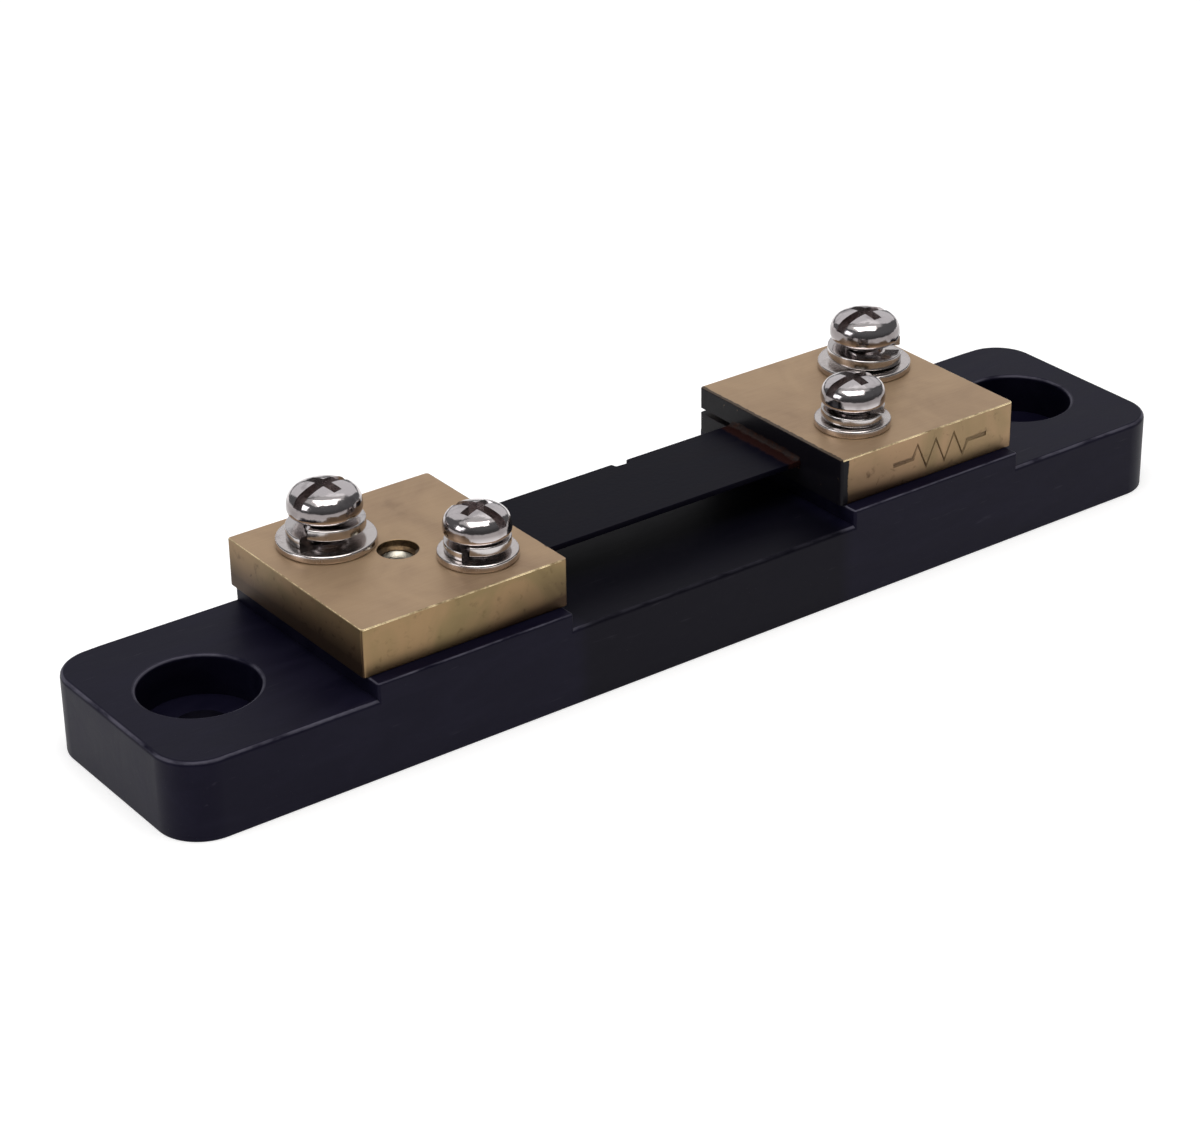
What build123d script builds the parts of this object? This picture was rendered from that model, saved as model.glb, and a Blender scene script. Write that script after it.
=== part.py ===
from build123d import *
import math
import os

# Direct-current shunt for a battery monitor. A moulded base carries two brass terminal blocks, and
# a manganin strip brazed between them is the resistor. Each block has a larger screw, which clamps
# the load cable, and a smaller screw, which clamps the monitor's sense wire.
# Millimetres. The origin is the centre of the base's underside, +X runs along the base and +Z up.

# Base
base_length = 120.0
base_width = 25.0
base_height = 8.2
corner_radius = 4.5
edge_radius = 0.5
pad_height = 1.65
pad_inset = 0.5  # a pad's end faces stand in under its block by this much
pad_edge_radius = 0.3

# Holes that hold the base down
mount_inset = 9.4  # from the end of the base to the hole's axis
mount_hole = 5.5
mount_recess = 11.5
mount_recess_depth = 4.2
mount_rim_radius = 0.4

# Terminal blocks
block_end_gap = 20.35  # from the end of the base to the block
block_front_reach = 11.35  # from the fixing screw to the front of its block
block_length = 22.9
block_width = {"left": 23.4, "right": 22.7}  # the left one is sawn a little wider
block_thickness = 5.0
block_corner_radius = 0.3
block_edge_chamfer = 0.15
block_middle = 0.45  # how far back of the base's middle the fixing screws stand

# Resistor strip and its brazed joints
strip_width = 11.0
strip_thickness = 0.6
strip_shift = 0.55  # from the fixing screws back to the middle of the strip
strip_height = 2.1  # from the underside of the blocks to the underside of the strip
slot_depth = 3.6
slot_clearance = 0.1  # past the strip's end and past its front edge
braze_leg = 0.7
notch_width = 1.6
notch_depth = 0.7
notch_offset = 2.3  # from the middle of the strip to the trimming notch

# Terminal screws, each with a lock washer and a flat washer that stay on its shank
line = {
    "thread": 4.0,
    "pitch": 0.7,
    "length": 8.0,
    "head": 7.3,
    "head_height": 3.2,
    "head_wall": 1.15,
    "crown": 5.5,
    "drive_width": 1.05,
    "drive_depth": 1.35,
    "cross": 4.6,
    "flat": 9.7,
    "flat_thickness": 0.8,
    "lock": 7.7,
    "lock_thickness": 1.05,
}
sense = {
    "thread": 3.5,
    "pitch": 0.6,
    "length": 6.0,
    "head": 6.6,
    "head_height": 2.85,
    "head_wall": 0.95,
    "crown": 5.2,
    "drive_width": 1.0,
    "drive_depth": 1.2,
    "cross": 4.2,
    "flat": 7.8,
    "flat_thickness": 0.8,
    "lock": 6.45,
    "lock_thickness": 0.9,
    "lock_height": 1.55,  # sprung, as it stands under a screw that is only finger tight
}

# Where each terminal's hole is from its block's fixing screw
hole_at = {
    "line_left": (-4.45, 5.45),
    "line_right": (5.35, 4.9),
    "sense_left": (5.25, -5.65),
    "sense_right": (-4.8, -5.15),
}

# How each screw was left, in degrees: where its lock washer is split and how its slot is turned
left_at = {
    "line_left": (205.0, 60.0),
    "line_right": (328.0, 48.0),
    "sense_left": (215.0, -65.0),
    "sense_right": (300.0, 95.0),
}
lock_split = 14.0  # degrees between the two ends of a lock washer
crown_share = 0.7  # how much of a head's radius its crown takes before the shoulder begins

# Fixing screws, which hold the blocks down from under the base
fixing = {
    "thread": 4.0,
    "length": 10.0,
    "head": 7.0,
    "head_height": 2.6,
    "head_wall": 0.9,
    "crown": 5.3,
    "drive_width": 1.0,
    "drive_depth": 1.2,
    "cross": 4.4,
}
fixing_turn = {"left": 20.0, "right": 75.0}
fixing_hole = 5.0
fixing_flat = 9.0
fixing_flat_thickness = 0.8
fixing_recess_depth = 4.5
fixing_mouth_chamfer = 0.2

# Fits
thread_clearance = 0.05
lock_clearance = 0.05
flat_clearance = 0.15
recess_clearance = 0.3
tip_clearance = 0.05

# Heights and places that follow
pad_top = base_height + pad_height
block_top = pad_top + block_thickness
block_front = block_middle - block_front_reach
block_x = base_length / 2 - block_end_gap - block_length / 2
inner_face_x = block_x - block_length / 2
mount_x = base_length / 2 - mount_inset
strip_bottom = pad_top + strip_height
strip_top = strip_bottom + strip_thickness
strip_y = block_middle + strip_shift
slot_front = strip_y - strip_width / 2 - slot_clearance
strip_length = 2 * (inner_face_x + slot_depth - slot_clearance)

# The line screws are turned in until their tips stand on the pads, which leaves their washers sprung
line["lock_height"] = (
    line["length"] + tip_clearance - block_thickness - line["flat_thickness"]
)

os.makedirs("parts", exist_ok=True)


def save(builder, node):
    builder.part.label = node
    export_step(builder.part, f"parts/{node}.step")


def pan_screw(size, bearing, drive_angle):
    """A plain-shank pan head screw. bearing is the plane of the head's underside, facing its top.
    The domed head has a slot right across it, and a shorter slot crosses that one."""
    half_head = size["head"] / 2
    shank = size["thread"] / 2 - thread_clearance
    point = size["thread"] / 8
    crown_angle = math.degrees(math.asin(crown_share * half_head / size["crown"]))
    with BuildPart() as screw:
        with BuildSketch(Plane(bearing.origin, x_dir=bearing.x_dir, z_dir=-bearing.y_dir)):
            with BuildLine():
                crown = JernArc((0, size["head_height"]), (1, 0), size["crown"], -crown_angle)
                TangentArc(crown @ 1, (half_head, size["head_wall"]), tangent=crown % 1)
                Polyline(
                    (half_head, size["head_wall"]),
                    (half_head, 0),
                    (shank, 0),
                    (shank, point - size["length"]),
                    (shank - point, -size["length"]),
                    (0, -size["length"]),
                    (0, size["head_height"]),
                )
            make_face()
        revolve(axis=Axis(bearing.origin, bearing.z_dir))
        with BuildSketch(bearing.offset(size["head_height"])):
            Rectangle(size["head"] * 1.2, size["drive_width"], rotation=drive_angle)
            Rectangle(size["drive_width"], size["cross"], rotation=drive_angle)
        extrude(amount=-size["drive_depth"], mode=Mode.SUBTRACT)
    return screw


def flat_washer(place, bottom, outer, inner, thickness):
    with BuildPart() as washer:
        with BuildSketch(Plane.XY.offset(bottom)):
            with Locations(place):
                Circle(outer / 2)
                Circle(inner / 2, mode=Mode.SUBTRACT)
        extrude(amount=thickness)
    return washer


# Base: a bar with rounded corners and two raised pads, drilled from both sides
with BuildPart() as base:
    with BuildSketch(Plane.XY):
        RectangleRounded(base_length, base_width, corner_radius)
    extrude(amount=base_height)
    fillet(base.edges().group_by(Axis.Z)[-1], edge_radius)
    pad_root = base_height - edge_radius
    with BuildSketch(Plane.XY.offset(pad_root)):
        with Locations((-block_x, 0), (block_x, 0)):
            Rectangle(block_length - 2 * pad_inset, base_width)
    extrude(amount=pad_top - pad_root)
    fillet(base.edges().group_by(Axis.Z)[-1], pad_edge_radius)
    with Locations((-mount_x, 0, base_height), (mount_x, 0, base_height)):
        CounterBoreHole(mount_hole / 2, mount_recess / 2, mount_recess_depth)
    circles = base.edges().filter_by(GeomType.CIRCLE)
    rims = circles.filter_by(lambda edge: math.isclose(edge.radius, mount_recess / 2))
    fillet(rims.group_by(Axis.Z)[-1], mount_rim_radius)
    fixing_recess = fixing_flat / 2 + recess_clearance
    with Locations(Plane.XY.rotated((180, 0, 0))):
        with Locations((-block_x, -block_middle), (block_x, -block_middle)):
            CounterBoreHole(fixing_hole / 2, fixing_recess, fixing_recess_depth)
save(base, "base")

# Resistor strip: one flat piece with a trimming notch filed into its back edge
with BuildPart() as resistor_strip:
    with BuildSketch(Plane.XY.offset(strip_bottom)):
        with Locations((0, strip_y)):
            Rectangle(strip_length, strip_width)
        with Locations((notch_offset, strip_y + strip_width / 2)):
            Rectangle(notch_width, 2 * notch_depth, mode=Mode.SUBTRACT)
    extrude(amount=strip_thickness)
save(resistor_strip, "resistor_strip")

for side, sign in {"left": -1, "right": 1}.items():
    face_x = sign * inner_face_x
    fixing_place = (sign * block_x, block_middle)
    terminals = {}
    for kind, size in {"line": line, "sense": sense}.items():
        offset = hole_at[f"{kind}_{side}"]
        terminals[kind] = (size, (fixing_place[0] + offset[0], fixing_place[1] + offset[1]))

    # Terminal block: three tapped holes, and a slot in its inner end face that is open at the back
    block_back = block_front + block_width[side]
    with BuildPart() as terminal_block:
        with BuildSketch(Plane.XY.offset(pad_top)):
            with Locations((sign * block_x, block_front)):
                Rectangle(block_length, block_width[side], align=(Align.CENTER, Align.MIN))
        extrude(amount=block_thickness)
        fillet(terminal_block.edges().filter_by(Axis.Z), block_corner_radius)
        chamfer(terminal_block.edges().group_by(Axis.Z)[-1], block_edge_chamfer)
        for size, place in terminals.values():
            with Locations((*place, block_top)):
                Hole(size["thread"] / 2, depth=block_thickness)
        with Locations((*fixing_place, block_top)):
            Hole(fixing["thread"] / 2, depth=block_thickness)
        mouths = terminal_block.edges().filter_by(GeomType.CIRCLE).group_by(Axis.Z)[-1]
        mouth = mouths.sort_by_distance((*fixing_place, block_top))[0]
        chamfer(mouth, fixing_mouth_chamfer)
        with BuildSketch(Plane.XY.offset(strip_bottom)):
            with Locations((face_x + sign * slot_depth / 2, (slot_front + block_back) / 2)):
                Rectangle(slot_depth, block_back - slot_front)
        extrude(amount=strip_thickness, mode=Mode.SUBTRACT)
    save(terminal_block, f"terminal_block_{side}")

    # Braze: a hollow fillet above and below the strip, along the block's inner end face
    with BuildPart() as braze:
        for level, up in ((strip_top, 1), (strip_bottom, -1)):
            with BuildSketch(Plane.XZ.offset(-strip_y)):
                foot = (face_x - sign * braze_leg, level)
                crown = (face_x, level + up * braze_leg)
                hollow = braze_leg * (1 - math.sqrt(0.5))
                with BuildLine():
                    Polyline(foot, (face_x, level), crown)
                    ThreePointArc(foot, (face_x - sign * hollow, level + up * hollow), crown)
                make_face()
            extrude(amount=strip_width / 2, both=True)
    save(braze, f"braze_{side}")

    # Fixing screw: comes up through the base into the middle of the block
    seat = fixing_recess_depth - fixing_flat_thickness
    inner = fixing["thread"] + 2 * flat_clearance
    fixing_washer = flat_washer(fixing_place, seat, fixing_flat, inner, fixing_flat_thickness)
    save(fixing_washer, f"fixing_washer_{side}")
    seat_plane = Plane((*fixing_place, seat), x_dir=(1, 0, 0), z_dir=(0, 0, -1))
    fixing_screw = pan_screw(fixing, seat_plane, fixing_turn[side])
    save(fixing_screw, f"fixing_screw_{side}")

    for kind, (size, place) in terminals.items():
        split_angle, drive_angle = left_at[f"{kind}_{side}"]
        lock_bottom = block_top + size["flat_thickness"]
        bearing = lock_bottom + size["lock_height"]

        inner = size["thread"] + 2 * flat_clearance
        terminal_washer = flat_washer(
            place, block_top, size["flat"], inner, size["flat_thickness"]
        )
        save(terminal_washer, f"{kind}_flat_washer_{side}")

        # Lock washer: one open turn of square wire that climbs clockwise from end to end
        wire_inner = size["thread"] / 2 + lock_clearance
        wire_width = size["lock"] / 2 - wire_inner
        share = 1 - lock_split / 360
        rise = size["lock_height"] - size["lock_thickness"]
        low_end = (*place, lock_bottom + size["lock_thickness"] / 2)
        with BuildLine() as helix:
            radius = wire_inner + wire_width / 2
            Helix(rise / share, rise, radius, center=low_end, lefthand=True)
        upright = Axis(low_end, (0, 0, 1))
        turn = helix.line.rotate(upright, split_angle - lock_split / 2)
        with BuildPart() as lock_washer:
            outwards = turn @ 0 - Vector(low_end)
            with BuildSketch(Plane(turn @ 0, x_dir=outwards, z_dir=turn % 0)):
                Rectangle(wire_width, size["lock_thickness"])
            sweep(path=turn, is_frenet=True)
        save(lock_washer, f"{kind}_lock_washer_{side}")

        terminal_screw = pan_screw(size, Plane((*place, bearing)), drive_angle)
        save(terminal_screw, f"{kind}_screw_{side}")

        engaged = block_top - bearing + size["length"]
        turns = math.floor(engaged / size["pitch"])
        print(f"{kind}_{side}: {turns} turns lift the screw {turns * size['pitch']:.1f} mm")
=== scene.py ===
import math

import bmesh
import bpy
from mathutils import Matrix, Vector
from mathutils import noise as wander


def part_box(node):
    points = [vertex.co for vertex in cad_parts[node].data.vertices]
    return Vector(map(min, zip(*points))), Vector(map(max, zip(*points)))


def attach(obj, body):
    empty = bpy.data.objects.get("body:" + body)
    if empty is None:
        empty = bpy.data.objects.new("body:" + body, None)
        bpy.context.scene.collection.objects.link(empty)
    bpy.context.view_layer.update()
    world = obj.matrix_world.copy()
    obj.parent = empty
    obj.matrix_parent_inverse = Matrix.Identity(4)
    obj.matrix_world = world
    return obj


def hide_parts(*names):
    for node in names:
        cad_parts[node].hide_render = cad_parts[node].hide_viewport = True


# A current shunt: black moulded base, brass terminal blocks, a lacquered resistance strip brazed
# between them, nickel-plated terminal screws with their washers, and zinc-plated fixing screws.

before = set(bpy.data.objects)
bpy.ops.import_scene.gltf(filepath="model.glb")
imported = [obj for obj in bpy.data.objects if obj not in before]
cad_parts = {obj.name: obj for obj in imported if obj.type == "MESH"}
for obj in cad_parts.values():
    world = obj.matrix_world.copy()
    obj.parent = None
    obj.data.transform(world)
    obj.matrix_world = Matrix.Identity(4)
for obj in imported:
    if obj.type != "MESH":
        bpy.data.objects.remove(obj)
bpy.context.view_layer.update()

mm = 0.001
sides = {"left": -1, "right": 1}


class Wire:  # one socket that plain Python maths can be written with
    def __init__(self, tree, socket=None):
        self.tree = tree
        self.socket = socket

    def add(self, kind, settings=None, values=None, output=0):  # any node, settings before sockets
        node = self.tree.nodes.new(kind)
        for name, setting in (settings or {}).items():
            if name == "stops":  # a ramp's list of (place, colour)
                ramp = node.color_ramp
                while len(ramp.elements) < len(setting):
                    ramp.elements.new(0.5)
                for element, (place, colour) in zip(ramp.elements, setting):
                    element.position = place
                    element.color = colour if len(colour) == 4 else (*colour, 1)
            else:
                setattr(node, name, setting)
        for key, value in (values or {}).items():
            for one in value if isinstance(value, list) else [value]:
                if isinstance(one, Wire):
                    self.tree.links.new(one.socket, node.inputs[key])
                else:
                    node.inputs[key].default_value = one
        return Wire(self.tree, node.outputs[output])

    def maths(self, operation, first, second):
        return self.add("ShaderNodeMath", {"operation": operation}, {0: first, 1: second})

    def __add__(self, other):
        return self.maths("ADD", self, other)

    def __radd__(self, other):
        return self.maths("ADD", other, self)

    def __sub__(self, other):
        return self.maths("SUBTRACT", self, other)

    def __rsub__(self, other):
        return self.maths("SUBTRACT", other, self)

    def __mul__(self, other):
        return self.maths("MULTIPLY", self, other)

    def __rmul__(self, other):
        return self.maths("MULTIPLY", other, self)

    def __truediv__(self, other):
        return self.maths("DIVIDE", self, other)

    def __pow__(self, power):
        return self.maths("POWER", self, power)

    def __abs__(self):
        return self.add("ShaderNodeMath", {"operation": "ABSOLUTE"}, {0: self})

    def least(self, other):
        return self.maths("MINIMUM", self, other)

    def most(self, other):
        return self.maths("MAXIMUM", self, other)

    def step(self, low, high):  # 0 below low, 1 above high, and smooth between
        settings = {"interpolation_type": "SMOOTHSTEP"}
        values = {"Value": self, "From Min": low, "From Max": high}
        return self.add("ShaderNodeMapRange", settings, values)

    def spread(self, low, high):  # 0 to 1 taken to low to high
        return self.add("ShaderNodeMapRange", None, {"Value": self, "To Min": low, "To Max": high})


def blankMaterial(name, fixed):  # a principled surface, with the values that are the same all over
    material = bpy.data.materials.new(name)
    material.use_nodes = True
    tree = material.node_tree
    tree.nodes.clear()
    shader = tree.nodes.new("ShaderNodeBsdfPrincipled")
    out = tree.nodes.new("ShaderNodeOutputMaterial")
    tree.links.new(shader.outputs[0], out.inputs["Surface"])
    for key, value in fixed.items():
        shader.inputs[key].default_value = value
    return material, Wire(tree), shader


def feed(wire, shader, name):
    wire.tree.links.new(wire.socket, shader.inputs[name])


def patternAt(pen, size, turn=(0, 0, 0), centre=(0, 0, 0)):  # object coordinates in units of size
    place = pen.add("ShaderNodeTexCoord", output=3)
    scale = tuple(1 / one for one in (size if isinstance(size, tuple) else (size, size, size)))
    values = {"Vector": place, "Location": centre, "Rotation": turn, "Scale": scale}
    return pen.add("ShaderNodeMapping", {"vector_type": "POINT"}, values)


def noise(pen, where, detail=4.0, rough=0.5, warp=0.0):
    values = {"Vector": where, "Scale": 1.0, "Detail": detail}
    return pen.add("ShaderNodeTexNoise", None, {**values, "Roughness": rough, "Distortion": warp})


def axisOf(pen, axis):  # one object coordinate, in millimetres
    place = pen.add("ShaderNodeTexCoord", output=3)
    return pen.add("ShaderNodeSeparateXYZ", None, {0: place}, output=axis) * (1 / mm)


def facing(pen, axis):  # one part of the surface's own direction, -1 to 1
    turned = pen.add("ShaderNodeNewGeometry", output=1)
    return pen.add("ShaderNodeSeparateXYZ", None, {0: turned}, output=axis)


def blendColour(pen, share, first, second):
    values = {0: share, 6: first, 7: second}
    for key in (6, 7):
        if isinstance(values[key], tuple):
            values[key] = (*values[key], 1)
    return pen.add("ShaderNodeMix", {"data_type": "RGBA"}, values, output=2)


def bump(pen, height, strength, distance, normal=None):
    values = {"Height": height, "Strength": strength, "Distance": distance * mm}
    if normal is not None:
        values["Normal"] = normal
    return pen.add("ShaderNodeBump", None, values)


moulding = {
    "colour": (0.0030, 0.0026, 0.0095),
    "worn": (0.0058, 0.0052, 0.0140),
    # the next colour is a painted highlight on the rounded top rims
    "rimHighlight": (0.075, 0.072, 0.095),
    "shaded": (0.0006, 0.0006, 0.0012),
    "dust": (0.10, 0.09, 0.11),
    "specular": 0.11,
    "specularTint": (0.80, 0.74, 1.0, 1),
    "ior": 1.5,
    "roughLow": 0.36,
    "roughHigh": 0.50,
    "grain": 0.16,
    "flow": 9.0,
    "speck": 2.2,
    "shadedTo": (15.0, 17.4),  # how far out from the middle the deck stays darker
    "shadedShare": 0.75,
}


def blackMoulding():  # satin phenolic: fine grain, faint flow marks, a painted highlight on the rims, a few pale specks
    look = moulding
    fixed = {"Specular IOR Level": look["specular"], "Specular Tint": look["specularTint"]}
    material, pen, shader = blankMaterial("blackMoulding", {**fixed, "IOR": look["ior"]})
    grain = noise(pen, patternAt(pen, look["grain"] * mm), 3.0, 0.6)
    flow = noise(pen, patternAt(pen, (look["flow"] * mm, 3 * mm, 3 * mm)), 3.0, 0.55, 0.6)
    where = patternAt(pen, look["speck"] * mm)
    specks = 1 - pen.add("ShaderNodeTexVoronoi", None, {"Vector": where}).step(0.02, 0.055)
    specks = specks * noise(pen, patternAt(pen, 6 * mm, centre=(3, 1, 7)), 1.0).step(0.56, 0.60)
    where = patternAt(pen, (5 * mm, 0.35 * mm, 0.6 * mm), (0.2, 0.1, 0.5))
    rubs = noise(pen, where, 2.0, 0.7).step(0.66, 0.8)
    dust = (specks * 0.9 + rubs * 0.10).least(1.0)
    tone = blendColour(pen, flow.step(0.35, 0.75), look["colour"], look["worn"])
    upward = facing(pen, 2)
    # painted highlight: the up-facing rounded rims are lightened, broken by noise
    litRims = upward.step(0.35, 0.70) * (1 - upward.step(0.86, 0.98))
    litRims = litRims * noise(pen, patternAt(pen, (4 * mm, 4 * mm, 1 * mm)), 3.0, 0.6).step(0.30, 0.62)
    tone = blendColour(pen, litRims, tone, look["rimHighlight"])
    shaded = (1 - abs(axisOf(pen, 0)).step(*look["shadedTo"])) * look["shadedShare"]
    tone = blendColour(pen, shaded, tone, look["shaded"])
    feed(blendColour(pen, dust, tone, look["dust"]), shader, "Base Color")
    rough = flow.spread(look["roughLow"], look["roughHigh"]) + grain * 0.06 - rubs * 0.08
    feed(rough, shader, "Roughness")
    soft = bump(pen, flow, 0.05, 0.5)
    feed(bump(pen, grain, 0.10, 0.03, soft), shader, "Normal")
    return material


brass = {
    "top": (0.43, 0.295, 0.180),
    "topDull": (0.34, 0.228, 0.142),
    "brushed": (0.52, 0.39, 0.26),
    # the side tones are the top's brass painted darker as shade, and the right block's are painted
    # lighter than the left's
    "side": {"left": (0.345, 0.228, 0.120), "right": (0.405, 0.268, 0.158)},
    "sideOlive": {"left": (0.27, 0.198, 0.098), "right": (0.315, 0.226, 0.124)},
    # the stain colour also paints shade: near the base, at the ends and in the engraved mark
    "stain": (0.045, 0.026, 0.018),
    "lacquer": (0.0045, 0.0038, 0.0062),
    "specular": 0.12,
    "brushWidth": 0.045,
    "brushLength": 9.0,
    "brushTurn": (0, 0, 0.06),
    "cloud": 7.0,
    "spot": 1.1,
    "raggedness": 0.9,
    "lacquerWrap": {"left": 0.0, "right": 0.85},  # how far the lacquer has crept along the sides
    "lacquerTop": {"left": -0.1, "right": 0.25},  # and over the top
}


def brushedBrass(side, sign):  # brushed top, duller drawn sides, lacquer at the strip's end, and painted shade low down, at the ends and in the engraved mark
    look = brass
    fixed = {"Specular IOR Level": look["specular"]}
    material, pen, shader = blankMaterial("brushedBrass_" + side, fixed)
    low, high = (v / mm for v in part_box("terminal_block_" + side))
    x, y, z = (axisOf(pen, axis) for axis in range(3))
    near, far = sorted((low.x * sign, high.x * sign))  # the block's inner and outer end
    upward = facing(pen, 2).step(0.6, 0.9) * z.step(high.z - 1.0, high.z - 0.6)
    sideways = 1 - upward
    long, thin = look["brushLength"] * mm, look["brushWidth"] * mm
    topBrush = noise(pen, patternAt(pen, (long, thin, thin), look["brushTurn"]), 3.0, 0.6)
    where = patternAt(pen, (long * 1.6, thin * 6, thin * 6), look["brushTurn"], (4, 2, 0))
    topCoarse = noise(pen, where, 2.0, 0.5)
    sideBrush = noise(pen, patternAt(pen, (thin * 40, thin * 40, thin * 1.6)), 3.0, 0.6)
    cloud = noise(pen, patternAt(pen, look["cloud"] * mm, centre=(sign, 2, 5)), 4.0, 0.55, 0.8)
    spots = noise(pen, patternAt(pen, look["spot"] * mm, centre=(1, sign, 3)), 3.0, 0.6, 0.4)
    # top against side and right block against left are painted light on one brass; the streaks and
    # roughness carry the real brushed and drawn finish
    topTone = blendColour(pen, cloud.step(0.3, 0.75), look["top"], look["topDull"])
    sideTone = blendColour(pen, cloud.step(0.38, 0.66), look["side"][side], look["sideOlive"][side])
    tone = blendColour(pen, upward, sideTone, topTone)
    streaks = (topBrush * 0.6 + topCoarse * 0.4).step(0.30, 0.72) * upward
    tone = blendColour(pen, streaks * 0.27, tone, look["brushed"])
    stain = spots.step(0.56, 0.78) * sideways * 0.3 + cloud.step(0.62, 0.86) * 0.25
    height = (z - low.z) / (high.z - low.z)
    foot = (1 - height.step(0.0, 0.34)) * sideways  # darker near the base, a painted reflection of the black base
    across = (x * sign - near) / (far - near)
    outer = (facing(pen, 0) * sign).step(0.5, 0.8) * across.step(0.97, 0.985)
    corner = (1 - across.step(0.0, 0.75)) * (1 - height.step(0.0, 1.25)) * sideways * (1 - outer)
    # painted shade on the outer end face, heavier low down, and toward the inner lower corner
    shade = outer * (0.26 + (1 - height.step(0.1, 1.0)) * 0.68) + corner * 0.75
    behind = y - low.y  # how far in from the front face, where the engraved mark gets painted shade
    grooveShade = behind.step(0.03, 0.10) * (1 - behind.step(0.13, 0.2)) * sideways
    # real stains, with painted shade and a painted reflection of the base mixed in
    dark = (stain + foot * 0.45 + shade + grooveShade * 0.55).least(0.93)
    tone = blendColour(pen, dark, tone, look["stain"])
    ragged = noise(pen, patternAt(pen, look["raggedness"] * mm), 3.0, 0.6)
    past = sign * x - near - ragged * 0.5  # how far out of the inner end
    wrap, over = look["lacquerWrap"][side], look["lacquerTop"][side]
    backward = facing(pen, 1).step(0.5, 0.8)
    wrapped = (1 - past.step(wrap - 0.28, wrap - 0.12)) * sideways * (1 - backward)
    topped = (1 - past.step(over - 0.15, over)) * upward * 0.85
    ended = (facing(pen, 0) * -sign).step(0.5, 0.8) * (1 - past.step(0.0, 0.3))
    lacquer = (wrapped + ended + topped).least(1.0) * (1 - ragged.step(0.70, 0.80) * 0.7)
    feed(blendColour(pen, lacquer, tone, look["lacquer"]), shader, "Base Color")
    feed((0.95 - upward * 0.35) * (1 - lacquer), shader, "Metallic")
    rough = 0.36 + topBrush * 0.10 + cloud * 0.06 + sideways * 0.06 + stain * 0.15 - lacquer * 0.08
    feed(rough, shader, "Roughness")
    first = bump(pen, topBrush * upward + sideBrush * sideways, 0.16, 0.02)
    feed(bump(pen, lacquer * ragged + spots * 0.25, 0.20, 0.05, first), shader, "Normal")
    return material


# the colours of the painted highlight along the block edges
edgeShine = {"dull": (0.27, 0.19, 0.10), "bright": (0.98, 0.79, 0.47), "glint": 0.9, "run": 5.0}


def edgeHighlight():  # a painted highlight: the thin bright line along the broken upper edges and the hole mouths
    material, pen, shader = blankMaterial("edgeHighlight", {"Specular IOR Level": 0.5})
    wide = edgeShine["glint"] * mm
    glint = noise(pen, patternAt(pen, (wide, wide, 0.4 * mm)), 3.0, 0.7)
    run = noise(pen, patternAt(pen, edgeShine["run"] * mm), 2.0)
    ends = abs(facing(pen, 0)).step(0.3, 0.6)
    # the edge is painted bright where the glint noise runs high
    share = (glint * 0.6 + run * 0.7).step(0.50, 0.78) * (1 - ends)
    feed(blendColour(pen, share, edgeShine["dull"], edgeShine["bright"]), shader, "Base Color")
    feed(share * 0.1 + 0.88, shader, "Metallic")
    feed(0.40 - share * 0.16, shader, "Roughness")
    feed(bump(pen, glint, 0.15, 0.02), shader, "Normal")
    return material


# brass darkened as painted shade inside the tapped holes
tapped = {"holeShade": (0.13, 0.085, 0.045), "holeShadeDeep": (0.05, 0.032, 0.018), "blotch": 0.6}


def tappedBrass():  # threaded walls, darkened as painted shade down in the holes, in blotches
    fixed = {"Specular IOR Level": 0.2, "Metallic": 0.85}
    material, pen, shader = blankMaterial("tappedBrass", fixed)
    blotch = noise(pen, patternAt(pen, tapped["blotch"] * mm), 3.0, 0.6)
    tone = blendColour(pen, blotch.step(0.3, 0.7), tapped["holeShade"], tapped["holeShadeDeep"])
    feed(tone, shader, "Base Color")
    feed(blotch * 0.2 + 0.34, shader, "Roughness")
    feed(bump(pen, blotch, 0.12, 0.03), shader, "Normal")
    return material


plated = {
    "nickel": {
        "colour": (0.58, 0.54, 0.54),
        "dull": (0.30, 0.268, 0.27),
        "rough": 0.13,
        "wave": 0.60,
    },
    "ring": {
        "colour": (0.62, 0.575, 0.555),
        "dull": (0.40, 0.355, 0.335),
        "rough": 0.20,
        "wave": 0.15,
    },
    "spring": {
        "colour": (0.56, 0.53, 0.52),
        "dull": (0.28, 0.25, 0.24),
        "rough": 0.18,
        "wave": 0.22,
    },
    "zinc": {
        "colour": (0.70, 0.68, 0.63),
        "dull": (0.50, 0.48, 0.44),
        "rough": 0.28,
        "wave": 0.08,
    },
}
recess = {"tone": (0.34, 0.275, 0.265), "share": 0.8}  # painted shade on the plate down in a head's slot and cross
rimReflection = {"tone": (0.095, 0.075, 0.072), "share": 0.62}  # and a painted dark reflection round the widest part of the head


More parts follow.
